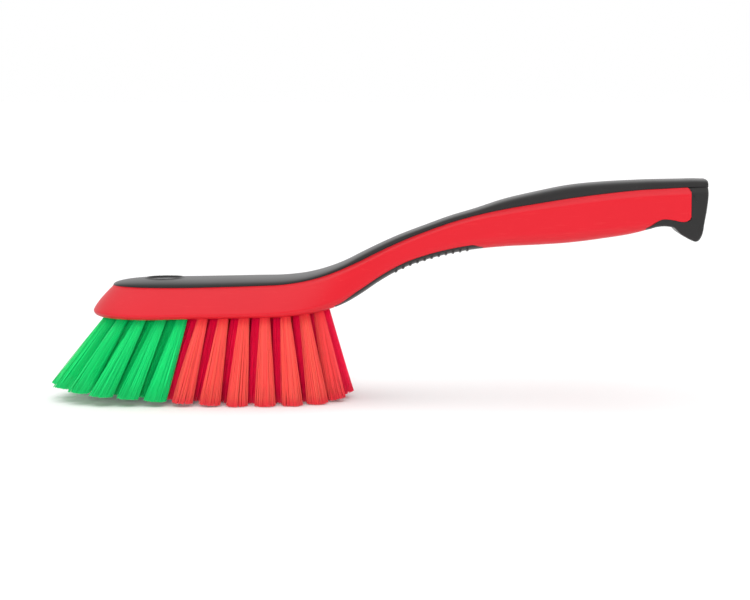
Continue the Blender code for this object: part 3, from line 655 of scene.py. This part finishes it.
def core_rings():
    """The core: for each lengthwise line a height share and a setback; the width at x is the
    section's half width times the nose's superellipse counted from the line's setback."""
    base = stations(
        np.array([PAD_START - LEVEL_STEP, PAD_START, PAD_END, PAD_END + LEVEL_STEP]),
        np.array([LINING_START - LEVEL_STEP, LINING_START]))
    end = Body(np.array([CORE_END]))
    under = even_shares(CORE_UNDER_POINTS)[:-1]
    turn = quarter_turn(CORE_CORNER_POINTS)[:-1]
    climb = even_shares(CORE_SIDE_POINTS)
    climb = mix(climb, climb ** 0.8, 0.5)
    fillet = quarter_turn(CORE_FILLET_POINTS)[1:]
    seat = quarter_turn(CORE_SEAT_POINTS)
    low = float(lining_level(np.array([CORE_END]))[0] + SEAM)
    parts = []

    setback = np.full(len(under), BLOCK_CORNER)
    x = long_lines(base, setback, np.full(len(under), FACE_CORNER_LOW))
    b = Body(x)
    y = under * (b.half - b.corner) * round_share(x - b.corner, NOSE_ROUND, NOSE_POWER)
    parts.append((x, y, np.maximum(b.bottom, cut_level(x))))

    inset = 1.0 - np.sin(turn)
    x = long_lines(base, BLOCK_CORNER * inset, np.full(len(turn), FACE_CORNER_LOW))
    b = Body(x)
    across = round_share(x - b.corner * inset, NOSE_ROUND, NOSE_POWER)
    y = (b.half - b.corner * inset) * across
    z = b.bottom + CORNER_RISE * b.corner * (1.0 - np.cos(turn))
    parts.append((x, y, np.maximum(z, cut_level(x))))

    setback = NOSE_SETBACK * climb ** NOSE_SETBACK_POWER
    z_end = np.maximum(mix(end.wide, end.border - EDGE_ROUND, climb), low)
    cut = corner_cut(z_end - low, FACE_CORNER_LOW) + corner_cut(
        end.border - EDGE_ROUND - z_end, FACE_CORNER_TOP)
    x = long_lines(base, setback, cut)
    b = Body(x)
    y = b.side(climb) * round_share(x - setback, NOSE_ROUND, NOSE_POWER)
    z = mix(b.wide, b.border - EDGE_ROUND, climb)
    parts.append((x, y, np.maximum(z, cut_level(x))))

    x = long_lines(base, np.full(len(fillet), NOSE_SETBACK), np.full(len(fillet), FACE_CORNER_TOP))
    b = Body(x)
    y = np.maximum(b.border_half * b.behind - EDGE_ROUND * (1.0 - np.cos(fillet)), 0.0)
    parts.append((x, y, b.border - EDGE_ROUND * (1.0 - np.sin(fillet))))

    x = long_lines(base, np.full(len(seat), NOSE_SETBACK), np.full(len(seat), FACE_CORNER_TOP))
    b = Body(x)
    across, up = superellipse(seat, b.power)
    seat_half = np.maximum(b.border_half * b.behind - COVER_EDGE, 0.0)
    rise = np.maximum(b.crown - COVER_THICKNESS - SEAM, 0.0)
    parts.append((x, seat_half * across, b.border + rise * up))

    half = np.concatenate([np.stack(np.broadcast_arrays(*part), -1) for part in parts], axis=1)
    half[:, 0, 1] = 0.0
    half[:, -1, 1] = 0.0
    return mirrored(half)


def dish_relief(x, y):
    """Relief of the round dish: a raised bead, a sunk floor inside it and a fine ring line."""
    from_centre = np.hypot(x - DISH_PLACE, y)
    bead = DISH_BEAD_HEIGHT * np.exp(-((from_centre - DISH_RADIUS) / DISH_BEAD_WIDTH) ** 2)
    wall = (DISH_RADIUS - DISH_WALL_INSET - from_centre) / DISH_WALL_WIDTH
    sunk = DISH_DEPTH * smooth_step(wall)
    from_line = from_centre - DISH_LINE_SHARE * DISH_RADIUS
    line = DISH_LINE_HEIGHT * np.exp(-(from_line / DISH_LINE_WIDTH) ** 2)
    return bead - sunk - line


def cover_rings():
    """The cover: a superellipse crown over the border, narrowed by the nose's superellipse,
    with the dish's relief, then the foot and the hollow that sits on the core."""
    nose = NOSE_SETBACK + (NOSE_ROUND - NOSE_SETBACK) * even_shares(COVER_NOSE_STATIONS) ** 2
    dish = np.arange(DISH_PLACE - DISH_GRID_REACH, DISH_PLACE + DISH_GRID_REACH, DISH_GRID_STEP)
    head = np.linspace(NOSE_ROUND, HEAD_LENGTH, COVER_HEAD_STATIONS)
    last = BODY_END - COVER_END_SETBACK
    handle = np.linspace(HEAD_LENGTH, last - COVER_END_ROUND, COVER_HANDLE_STATIONS)
    coarse = np.concatenate((nose, head, handle))
    coarse = coarse[np.abs(coarse - DISH_PLACE) > DISH_GRID_CLEAR]
    base = np.unique(np.concatenate((coarse, dish)))
    end = np.radians(np.linspace(0.0, COVER_END_TURN, COVER_END_STATIONS))[1:]
    x = np.concatenate((base, last - COVER_END_ROUND * (1.0 - np.sin(end))))
    drawn = COVER_END_ROUND * (1.0 - np.cos(end))
    inward = np.concatenate((np.zeros(len(base)), drawn))[:, None]
    b = Body(np.minimum(x, last)[:, None])
    foot = b.border + SEAM
    rise = np.maximum(b.crown - SEAM, 0.0) - COVER_END_DROP_SHARE * inward
    half_width = b.border_half * b.behind - inward

    top = np.concatenate((
        np.linspace(90.0, COVER_TOP_SPLIT, COVER_TOP_POINTS)[:-1],
        np.linspace(COVER_TOP_SPLIT, 0.0, COVER_TOP_POINTS)))
    across, up = superellipse(np.radians(top), b.power)
    y = half_width * across
    level = np.sin(np.radians(top)) > DISH_LEVEL_SHARE
    z = foot + rise * up + dish_relief(b.x, y) * level
    y_edge = np.maximum(half_width - COVER_EDGE, 0.0)
    ledge = even_shares(COVER_LEDGE_POINTS)[1:-1]
    under = quarter_turn(COVER_UNDER_POINTS)
    inner_across, inner_up = superellipse(under, b.power)
    inner_rise = np.maximum(rise - COVER_THICKNESS, 0.0)
    x_grid = np.broadcast_to(x[:, None], y.shape)
    parts = [
        (x_grid, y, z),
        (x[:, None], mix(half_width, y_edge, ledge), foot + 0 * ledge),
        (x[:, None], y_edge * inner_across, foot + inner_rise * inner_up),
    ]
    half = np.concatenate([np.stack(np.broadcast_arrays(*part), -1) for part in parts], axis=1)
    half[:, 0, 1] = 0.0
    half[:, -1, 1] = 0.0
    return mirrored(half)


def pad_rings():
    """The neck pad: the body's lower corner up to the pad's level, let down by its ribs, which
    die out toward the sides, and by the rim round its dimple."""
    x = np.linspace(PAD_START + SEAM, PAD_END - SEAM, PAD_STATIONS)[:, None]
    b = Body(x)
    top = pad_level(x)
    height = CORNER_RISE * b.corner
    full = np.arccos(np.clip(1.0 - (top - b.bottom) / height, -1.0, 1.0))
    under = even_shares(PAD_UNDER_POINTS)[:-1]
    turn = even_shares(PAD_CORNER_POINTS)
    y = under * (b.half - b.corner)
    z = b.bottom + 0 * under
    angle = full * turn
    y_turn = b.half - b.corner * (1.0 - np.sin(angle))
    z_turn = b.bottom + height * (1.0 - np.cos(angle))
    outer_y = np.concatenate((y, y_turn), axis=1)
    outer_z = np.concatenate((z, z_turn), axis=1)
    ribs = sum(smooth_step((PAD_RIB_HALF - np.abs(x - rib)) / PAD_RIB_FLANK) for rib in PAD_RIBS)
    across_share = smooth_step((PAD_FADE_SHARE * b.half - outer_y) / PAD_FADE_WIDTH)
    from_centre = np.hypot(x - PAD_DIMPLE, outer_y)
    from_rim = from_centre - PAD_DIMPLE_RADIUS - PAD_RIM_OUT
    rim = PAD_RIM_HEIGHT * np.exp(-(from_rim / PAD_RIM_WIDTH) ** 2)
    inside = (PAD_DIMPLE_RADIUS - from_centre) / PAD_DIMPLE_FLANK
    bowl = PAD_DIMPLE_DEPTH * smooth_step(inside)
    outer_z = outer_z - PAD_RIB_HEIGHT * ribs * across_share - rim + bowl
    shut = np.linspace(1.0, 0.0, PAD_TOP_POINTS)[1:]
    parts = [(x, outer_y, outer_z), (x, shut * outer_y[:, -1:], top + 0 * shut)]
    half = np.concatenate([np.stack(np.broadcast_arrays(*part), -1) for part in parts], axis=1)
    return mirrored(half)


def even_chain(points, count):
    """A smooth chain through the points with evenly spaced places along it."""
    points = np.asarray(points)
    along = np.concatenate(([0.0], np.cumsum(np.hypot(*np.diff(points, axis=0).T))))
    wanted = np.linspace(0.0, along[-1], count)
    return np.stack([cubic(wanted, along, points[:, i]) for i in (0, 1)], -1)


def face_chain():
    """The hook's front outline: under the core, round the lower corner, up the core's end
    face, round the upper corner and back along the border."""
    face = CORE_END + SEAM
    x = np.linspace(LINING_START, face - FACE_CORNER_LOW, FACE_UNDER_POINTS)
    under = np.stack((x, lining_level(x)), -1)
    low = under[-1, 1]
    turn = quarter_turn(FACE_CORNER_POINTS)[1:]
    border = float(Body(np.array([CORE_END])).border[0])
    lower = np.stack((face - FACE_CORNER_LOW * (1 - np.sin(turn)),
                      low + FACE_CORNER_LOW * (1 - np.cos(turn))), -1)
    upper = np.stack((face - FACE_CORNER_TOP * (1 - np.cos(turn)),
                      border - FACE_CORNER_TOP * (1 - np.sin(turn))), -1)
    rise = np.linspace(lower[-1, 1], border - FACE_CORNER_TOP, FACE_WALL_POINTS)[1:]
    wall = np.stack((np.full(len(rise), face), rise), -1)
    back = np.linspace(
        face - FACE_CORNER_TOP, BODY_END - FACE_BACK_GAP, FACE_BORDER_POINTS)[1:]
    edge = np.stack((back, Body(back).border), -1)
    return under, np.concatenate((lower, wall, upper)), edge


def hook_rings():
    """The hook: straight lines from its outer chain to its front chain, each carried across
    the brush with a rounded outer edge, and no wider than the body's side at its height."""
    top = float(Body(np.array([BODY_END])).border[0])
    outer = np.stack((BODY_END - HOOK_SHARES[:, 0] * HOOK_LENGTH,
                      top - HOOK_SHARES[:, 1] * HOOK_DROP), -1)[::-1]
    start = (LINING_START, float(Body(np.array([LINING_START])).bottom[0]))
    outer = np.concatenate(([start], outer))
    knee = int(np.argmin(np.abs(outer[:, 0] - (CORE_END - FACE_CORNER_LOW))))
    tip = int(np.argmin(outer[:, 1]))
    under, wall, edge = face_chain()
    counts = HOOK_CHAIN_POINTS
    p = np.concatenate((
        even_chain(outer[:knee + 1], counts[0]),
        chain_part(outer, knee, tip, counts[1])[1:],
        chain_part(outer, tip, len(outer) - 1, counts[2])[1:]))
    split = len(wall) // 2
    q = np.concatenate((
        even_chain(under, counts[0]),
        even_chain(np.concatenate((under[-1:], wall[:split])), counts[1])[1:],
        even_chain(np.concatenate((wall[split - 1:], edge)), counts[2])[1:]))
    q[-1] = p[-1]
    reach = np.hypot(*(q - p).T)[:, None]
    body = Body(np.minimum(p[:, :1], BODY_END))
    tipward = smooth_step((p[:, :1] - LINING_START) / HOOK_BLEND)
    round_across = mix(body.corner, HOOK_ROUND, tipward)
    round_deep = mix(CORNER_RISE * body.corner, HOOK_ROUND, tipward)
    turn = quarter_turn(HOOK_ROUND_POINTS)
    deep = np.minimum(round_deep * (1.0 - np.cos(turn)), reach)
    slide = even_shares(HOOK_SIDE_POINTS)[1:]
    depth = np.concatenate((deep, mix(deep[:, -1:], reach, slide)), axis=1)
    share = depth / np.maximum(reach, TINY)
    x = mix(p[:, :1], q[:, :1], share)
    z = mix(p[:, 1:], q[:, 1:], share)
    inside = np.clip(1.0 - depth / round_deep, 0.0, 1.0)
    at = Body(np.minimum(x, BODY_END))
    y = at.side_at(z) - round_across * (1.0 - np.sqrt(1.0 - inside ** 2))
    across = even_shares(HOOK_OUTER_POINTS)[:-1]
    shut = np.linspace(1.0, 0.0, HOOK_INNER_POINTS)[1:]
    parts = [
        (x[:, :1], y[:, :1] * across, z[:, :1]),
        (x, y, z),
        (x[:, -1:], y[:, -1:] * shut, z[:, -1:]),
    ]
    half = np.concatenate([np.stack(np.broadcast_arrays(*part), -1) for part in parts], axis=1)
    return mirrored(half)


def chain_part(points, first, last, count):
    """The part of a smooth chain between two of its points, evenly spaced."""
    along = np.concatenate(([0.0], np.cumsum(np.hypot(*np.diff(points, axis=0).T))))
    wanted = np.linspace(along[first], along[last], count)
    return np.stack([cubic(wanted, along, points[:, i]) for i in (0, 1)], -1)


# Tufts

def ring_places(inset, rear_inset, count):
    """Evenly spaced places on one side of the ring inside the rim by its insets, and their
    mirror images."""
    first = RING_NOSE_RIM + inset
    last = HEAD_LENGTH - rear_inset
    angles = np.linspace(0.0, pi, RING_SAMPLES)
    xs = 0.5 * (first + last) - 0.5 * (last - first) * np.cos(angles)
    ys = (BLOCK_HALF_WIDTH - RING_SIDE_RIM - inset) * round_share(
        xs - first, RING_NOSE_ROUND - inset, RING_POWER) * round_share(
        last - xs, RING_REAR_ROUND - inset, RING_POWER)
    along = np.concatenate(([0.0], np.cumsum(np.hypot(np.diff(xs), np.diff(ys)))))
    wanted = along[-1] * np.arange(count // 2 + 1) / (count // 2)
    side = np.stack((np.interp(wanted, along, xs), np.interp(wanted, along, ys)), -1)
    side[[0, -1], 1] = 0.0
    return np.concatenate((side, side[1:-1] * np.array((1.0, -1.0))))


def tuft_places():
    """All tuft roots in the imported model's order, from the nose back, each with 1 on the outer
    ring and 0 on the inner ring and the zigzag."""
    first = RING_NOSE_RIM + 2 * RING_SPACING
    last = HEAD_LENGTH - CENTRE_REAR_SHARE * RING_SPACING
    side = np.where(np.arange(CENTRE_TUFTS) % 2, CENTRE_STAGGER, -CENTRE_STAGGER)
    centre = np.stack((np.linspace(first, last, CENTRE_TUFTS), side), -1)
    outer = ring_places(0.0, 0.0, OUTER_TUFTS)
    inner = ring_places(RING_SPACING, RING_REAR_SPACING, INNER_TUFTS)
    rim = np.repeat((1.0, 0.0), (len(outer), len(inner) + len(centre)))
    roots = np.concatenate((outer, inner, centre))
    return sorted(tuple(place) for place in np.column_stack((roots, rim)))


def tuft_frame(x, y):
    """Root, axis and the two directions across a tuft, which is fanned forward, back and to
    the sides."""
    root = np.array((x, y, float(Body(np.array([x])).bottom[0])))
    places = (RING_NOSE_RIM, UPRIGHT_PLACE, HEAD_LENGTH)
    forward = np.radians(np.interp(x, places, (-NOSE_LEAN, 0.0, REAR_LEAN)))
    sideways = np.radians(SIDE_LEAN * y / (BLOCK_HALF_WIDTH - RING_SIDE_RIM))
    axis = np.array((np.tan(forward), np.tan(sideways), -1.0))
    axis /= np.linalg.norm(axis)
    away = np.array((x - 0.5 * HEAD_LENGTH, y * HEAD_LENGTH / BLOCK_HALF_WIDTH, 0.0))
    outward = away - axis * (away @ axis)
    outward /= np.linalg.norm(outward)
    return root, axis, outward, np.cross(axis, outward)


def trim_height(x):
    """Height of the trimmed tips over the floor: powers of the distances ahead of the upright
    tufts and behind them, less the flat cut."""
    ahead = np.clip(UPRIGHT_PLACE - x, 0.0, None) / NOSE_TRIM_REACH
    behind = np.clip(x - UPRIGHT_PLACE, 0.0, None) / REAR_TRIM_REACH
    rise = NOSE_TRIM_RISE * ahead ** NOSE_TRIM_POWER + REAR_TRIM_RISE * behind ** REAR_TRIM_POWER
    return np.maximum(rise - FLAT_CUT, 0.0)


def tuft_mesh(name, x, y, rim, seed):
    """One tuft: filaments start on a sunflower pattern in the socket, spread to a wider one at
    the floor, are drawn a little into clumps, bow slightly and end at the trimmed height. Each
    is a tube of few sides along its line."""
    random = np.random.default_rng(seed)
    root, axis, outward, across = tuft_frame(x, y)
    k = np.arange(FILAMENTS)
    radius = np.sqrt((k + 0.5) / FILAMENTS)
    angle = k * GOLDEN_ANGLE + random.uniform(0, 2 * pi)
    flat = np.stack((radius * np.cos(angle), radius * np.sin(angle)), -1)
    clumps = CLUMP_SPREAD * random.normal(size=(CLUMPS, 2))
    nearest = np.argmin(((flat[:, None] - clumps) ** 2).sum(-1), axis=1)
    pull = CLUMP_PULL * random.uniform(CLUMP_PULL_LEAST, 1.0, FILAMENTS)[:, None]
    tip_flat = mix(flat, clumps[nearest], pull)
    tip_flat = tip_flat + random.normal(size=tip_flat.shape) * TIP_SCATTER
    size = np.hypot(*tip_flat.T)[:, None]
    tip_flat = tip_flat / np.maximum(size, 1.0)
    plane = np.stack((outward, across))
    start = root - axis * FILAMENT_EMBED + flat @ plane * FILAMENT_ROOT_CIRCLE
    tip_circle = mix(INNER_TIP_CIRCLE, FILAMENT_TIP_CIRCLE, rim)
    spread = tip_flat @ plane * tip_circle - flat @ plane * FILAMENT_ROOT_CIRCLE
    way = axis * (BRISTLE_LENGTH + FILAMENT_EMBED) + spread
    ragged = np.abs(random.normal(size=FILAMENTS)) * FILAMENT_RAGGED
    share = np.ones(FILAMENTS)
    for _ in range(TRIM_ROUNDS):
        tip = start + way * share[:, None]
        level = FLOOR + trim_height(tip[:, 0]) + ragged + FILAMENT_RADIUS
        share = (level - start[:, 2]) / way[:, 2]
    t = np.linspace(0.0, 1.0, FILAMENT_STEPS + 1)
    bow = random.normal(size=(FILAMENTS, 2)) @ plane * FILAMENT_BOW
    reached = (way * share[:, None])[:, None] * t[:, None]
    bent = bow[:, None] * (4 * t * (1 - t) * t)[:, None]
    line = start[:, None] + reached + bent
    turn = 2 * pi * np.arange(FILAMENT_SIDES) / FILAMENT_SIDES
    ring = np.stack((np.cos(turn), np.sin(turn)), -1) @ plane * FILAMENT_RADIUS
    points = (line[:, :, None] + ring).reshape(-1, 3)
    stride = (FILAMENT_STEPS + 1) * FILAMENT_SIDES
    first = (k * stride)[:, None, None]
    quads = np.array(ring_faces(FILAMENT_STEPS + 1, FILAMENT_SIDES))[:, ::-1]
    sides = (quads + first).reshape(-1, 4).tolist()
    corner = np.arange(FILAMENT_SIDES)
    ends = np.array((corner, (stride - FILAMENT_SIDES + corner)[::-1]))
    caps = (ends + first).reshape(-1, FILAMENT_SIDES).tolist()
    mesh = bpy.data.meshes.new(name)
    mesh.from_pydata((points + OFFSET).tolist(), [], sides + caps)
    tint = np.repeat(random.uniform(size=FILAMENTS), stride)
    reach = np.tile(np.repeat(t, FILAMENT_SIDES), FILAMENTS)
    # Share of the painted sheen on the outer side tufts, growing with the distance from the middle
    # line
    across_share = np.full(len(tint), rim * smooth_step(abs(y) / OUTER_SHEEN_LENGTH))
    for attribute, values in (("strand", tint), ("reach", reach), ("across_share", across_share)):
        layer = mesh.attributes.new(attribute, "FLOAT", "POINT")
        layer.data.foreach_set("value", values.astype(np.float32))
    return mesh


def socket_mesh(places):
    """The tufts' drilled holes, as many closed prisms in one mesh."""
    turn = 2 * pi * np.arange(SOCKET_SIDES) / SOCKET_SIDES
    points, faces = [], []
    for i, (x, y, _) in enumerate(places):
        root, axis, outward, across = tuft_frame(x, y)
        ring = SOCKET_RADIUS * (np.cos(turn)[:, None] * outward + np.sin(turn)[:, None] * across)
        first = 2 * SOCKET_SIDES * i
        points += [root + axis * SOCKET_OVERRUN + ring, root - axis * SOCKET_DEPTH + ring]
        faces += (np.array(ring_faces(2, SOCKET_SIDES)) + first).tolist()
        faces += [list(range(first, first + SOCKET_SIDES))[::-1],
                  list(range(first + SOCKET_SIDES, first + 2 * SOCKET_SIDES))]
    return make_mesh("tuft_sockets", np.concatenate(points), faces)


def drilled(mesh, cutter):
    """The mesh with the cutter's volume taken away."""
    piece = bpy.data.objects.new("whole", mesh)
    tool = bpy.data.objects.new("drill", cutter)
    for thing in (piece, tool):
        bpy.context.scene.collection.objects.link(thing)
    boolean = piece.modifiers.new("drill", "BOOLEAN")
    boolean.operation = "DIFFERENCE"
    boolean.solver = "EXACT"
    boolean.object = tool
    evaluated = piece.evaluated_get(bpy.context.evaluated_depsgraph_get())
    result = bpy.data.meshes.new_from_object(evaluated)
    for thing in (piece, tool):
        bpy.data.objects.remove(thing)
    return result


# Stage

CAMERA_AIM = Vector((-0.00093, 0.0, 0.04829))
CAMERA_DISTANCE = 1.2
CAMERA_ELEVATION = 6.0
CAMERA_LENS = 117.29
CAMERA_SENSOR = 36.0
CAMERA_NEAR = 0.01
CAMERA_FAR = 50.0
CAMERA_RAY = 0
GLOSSY_RAY = 3
TRANSMISSION_RAY = 6
WHITE = (1.0, 1.0, 1.0, 1.0)
WORLD_LOW_FILL = 0.10
WORLD_HIGH_FILL = 0.30
FLOOR_WHITE = (0.98, 0.98, 0.98, 1.0)
FLOOR_REACH = 6.0
FLOOR_GLOW = 0.08
LAMPS = (
    ("key", (-0.02, -1.0, 0.12), 14.0, 1.62),
    ("top", (-0.10, -0.16, 1.0), 94.0, 2.2),
    ("back", (0.3, 1.0, 0.4), 50.0, 0.6),
)


def add_lamp(name, way, angle, strength):
    """A soft sun that shines from a direction and shows in no reflection."""
    lamp = bpy.data.lights.new(name, "SUN")
    lamp.angle = radians(angle)
    lamp.energy = strength
    holder = bpy.data.objects.new(name, lamp)
    bpy.context.scene.collection.objects.link(holder)
    holder.location = way
    holder.visible_glossy = False
    holder.rotation_euler = Vector(way).to_track_quat("Z", "Y").to_euler()


def set_world():
    """White where the camera and reflections see it, and a softer fill on the object, which
    grows from the horizon up to the zenith."""
    world = bpy.data.worlds.new("studio")
    bpy.context.scene.world = world
    world.use_nodes = True
    studio = Nodes(world.node_tree)
    path = studio.node("LightPath", {}, {})
    seen = path[CAMERA_RAY].larger(path[GLOSSY_RAY]).larger(path[TRANSMISSION_RAY])
    way = studio.node("TexCoord", {}, {})[GENERATED_PLACE]
    height = studio.node("SeparateXYZ", {}, {"Vector": way})[Z_PART]
    span = {"Value": height, "To Min": WORLD_LOW_FILL, "To Max": WORLD_HIGH_FILL}
    fill = studio.node("MapRange", {}, span)[0]
    strength = studio.node("MapRange", {}, {"Value": seen, "To Min": fill, "To Max": 1.0})[0]
    background = studio.tree.nodes["Background"]
    studio.plug(background.inputs["Color"], WHITE)
    studio.plug(background.inputs["Strength"], strength)


def add_floor():
    """A white floor that keeps the shadow: for the camera a little light of its own is added,
    so that it meets the white backdrop."""
    mesh = bpy.data.meshes.new("floor")
    corners = [(-1, -1), (1, -1), (1, 1), (-1, 1)]
    points = [(x * FLOOR_REACH, y * FLOOR_REACH, 0) for x, y in corners]
    mesh.from_pydata(points, [], [(0, 1, 2, 3)])
    floor = bpy.data.objects.new("floor", mesh)
    bpy.context.scene.collection.objects.link(floor)
    finish = Finish("white_floor", Roughness=1.0, Base_Color=FLOOR_WHITE,
                    Specular_IOR_Level=0.0, Emission_Color=WHITE)
    path = finish.node("LightPath", {}, {})
    finish.feed(Emission_Strength=(path[CAMERA_RAY] + path[GLOSSY_RAY]) * FLOOR_GLOW)
    mesh.materials.append(finish.material)


def add_camera():
    camera = bpy.data.cameras.new("camera")
    camera.lens = CAMERA_LENS
    camera.sensor_width = CAMERA_SENSOR
    camera.clip_start = CAMERA_NEAR
    camera.clip_end = CAMERA_FAR
    holder = bpy.data.objects.new("camera", camera)
    bpy.context.scene.collection.objects.link(holder)
    tilt = radians(CAMERA_ELEVATION)
    holder.location = CAMERA_AIM + CAMERA_DISTANCE * Vector((0.0, -cos(tilt), sin(tilt)))
    holder.rotation_euler = (CAMERA_AIM - holder.location).to_track_quat("-Z", "Y").to_euler()
    bpy.context.scene.camera = holder


add_camera()
set_world()
add_floor()
for lamp in LAMPS:
    add_lamp(*lamp)
bpy.context.scene.view_settings.view_transform = "Standard"

red = red_plastic()
rubber = black_rubber()
green_strand = filament("green_filament", **GREEN_STRAND)
red_strand = filament("red_filament", **RED_STRAND)

places = tuft_places()
core = drilled(skin("moulded_core", core_rings()), socket_mesh(places))
core.materials.clear()
cover = skin("top_cover", cover_rings())
pad = skin("neck_pad", pad_rings())
hook = skin("hook_cap", hook_rings())
add_piece("moulded_core", core, red, "red_plastic", CORE_SHARP, "core_body")
add_piece("top_cover", cover, rubber, "black_rubber", COVER_SHARP, "top_grip")
add_piece("neck_pad", pad, rubber, "black_rubber", PAD_SHARP, "neck_grip")
add_piece("hook_cap", hook, rubber, "black_rubber", PAD_SHARP, "end_hook")

counts = {"green": 0, "red": 0}
for number, (x, y, rim) in enumerate(places):
    colour = "green" if x < GREEN_LENGTH else "red"
    counts[colour] += 1
    node = f"{colour}_tuft_{counts[colour]:02d}"
    name = f"{colour}_filaments_{counts[colour]:02d}"
    strand = green_strand if colour == "green" else red_strand
    mesh = tuft_mesh(name, x, y, rim, number)
    add_piece(name, mesh, strand, f"{colour}_filament", ALL_SMOOTH, node)
